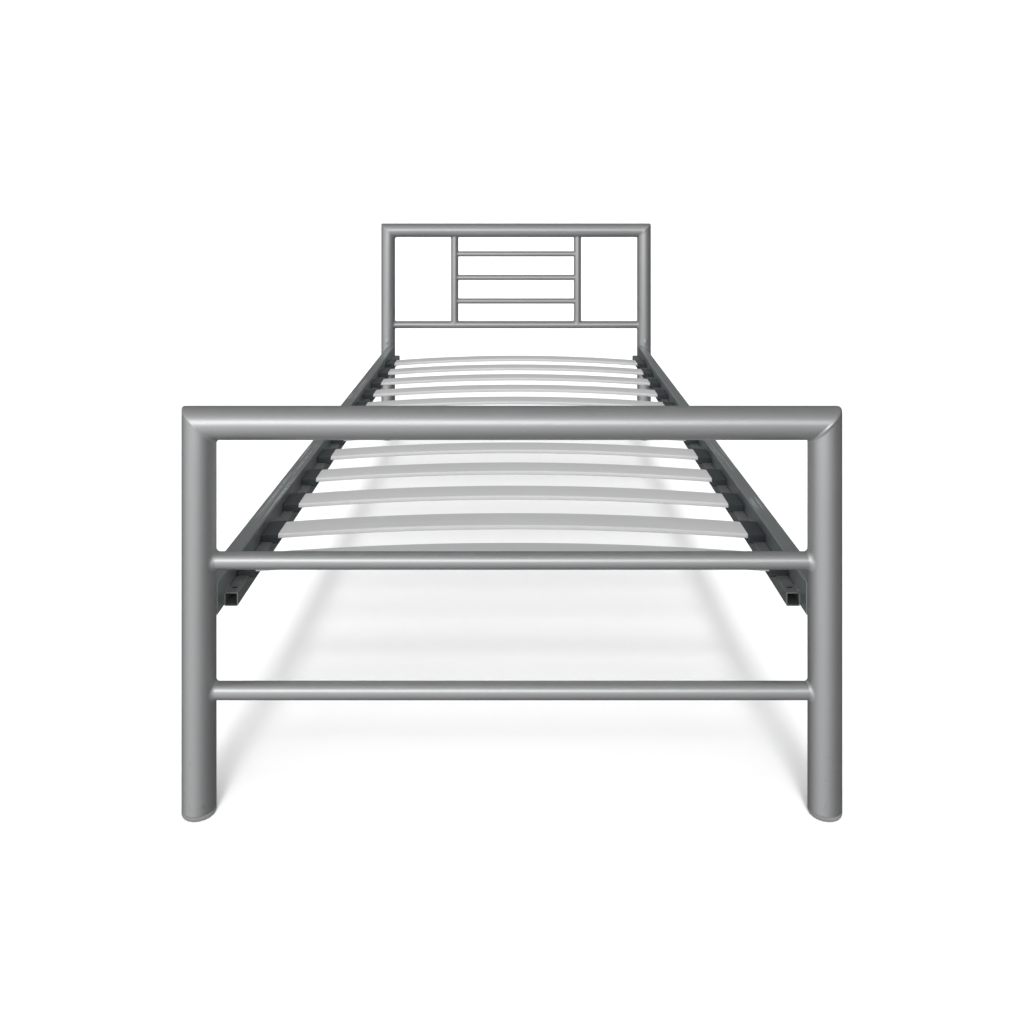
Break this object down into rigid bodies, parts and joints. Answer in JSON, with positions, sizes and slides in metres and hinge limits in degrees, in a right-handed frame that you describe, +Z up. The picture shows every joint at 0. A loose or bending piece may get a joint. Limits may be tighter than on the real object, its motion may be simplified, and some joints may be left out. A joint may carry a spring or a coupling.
{
  "type": "metal bed frame",
  "caption": "Single bed frame of silver powder-coated steel tube with a barred headboard, a low footboard and bowed sprung slats on side rails.",
  "frame": {"origin": "on the floor under the middle of the bed: the bottom centre of the bounding box", "axes": "+X to the right seen from the foot end, +Y from the footboard to the headboard, +Z up"},
  "size_m": [0.948, 2.038, 0.758],
  "materials": {
    "frame_paint": "silver-grey metallic powder coat, satin",
    "rail_paint": "silver-grey metallic powder coat, satin, as the frame",
    "glide_plastic": "moulded grey plastic, matched to the frame",
    "slat_foil": "bent plywood wrapped in pale silver-grey foil, satin",
    "holder_plastic": "moulded charcoal plastic, fine grained",
    "fastener_steel": "bright zinc-plated steel"
  },
  "bodies": {
    "root": {"foot_top_rail": "frame_paint", "foot_post_left": "frame_paint", "foot_glide_left": "glide_plastic", "foot_bracket_left": "frame_paint", "foot_post_right": "frame_paint", "foot_glide_right": "glide_plastic", "foot_bracket_right": "frame_paint", "head_top_rail": "frame_paint", "head_post_left": "frame_paint", "head_glide_left": "glide_plastic", "head_bracket_left": "frame_paint", "head_post_right": "frame_paint", "head_glide_right": "glide_plastic", "head_bracket_right": "frame_paint", "foot_upper_crossbar": "frame_paint", "foot_lower_crossbar": "frame_paint", "head_lower_rail": "frame_paint", "head_upright_left": "frame_paint", "head_upright_right": "frame_paint", "head_bar_1": "frame_paint", "head_bar_2": "frame_paint", "head_bar_3": "frame_paint", "side_rail_left": "rail_paint", "slat_ledge_left": "rail_paint", "slat_holders_left": "holder_plastic", "side_rail_right": "rail_paint", "slat_ledge_right": "rail_paint", "slat_holders_right": "holder_plastic", "slat_01": "slat_foil", "slat_02": "slat_foil", "slat_03": "slat_foil", "slat_04": "slat_foil", "slat_05": "slat_foil", "slat_06": "slat_foil", "slat_07": "slat_foil", "slat_08": "slat_foil", "slat_09": "slat_foil", "slat_10": "slat_foil", "slat_11": "slat_foil", "slat_12": "slat_foil", "rail_bolts": "fastener_steel", "rail_washers": "fastener_steel", "rail_nuts": "fastener_steel"}
  },
  "joints": []
}
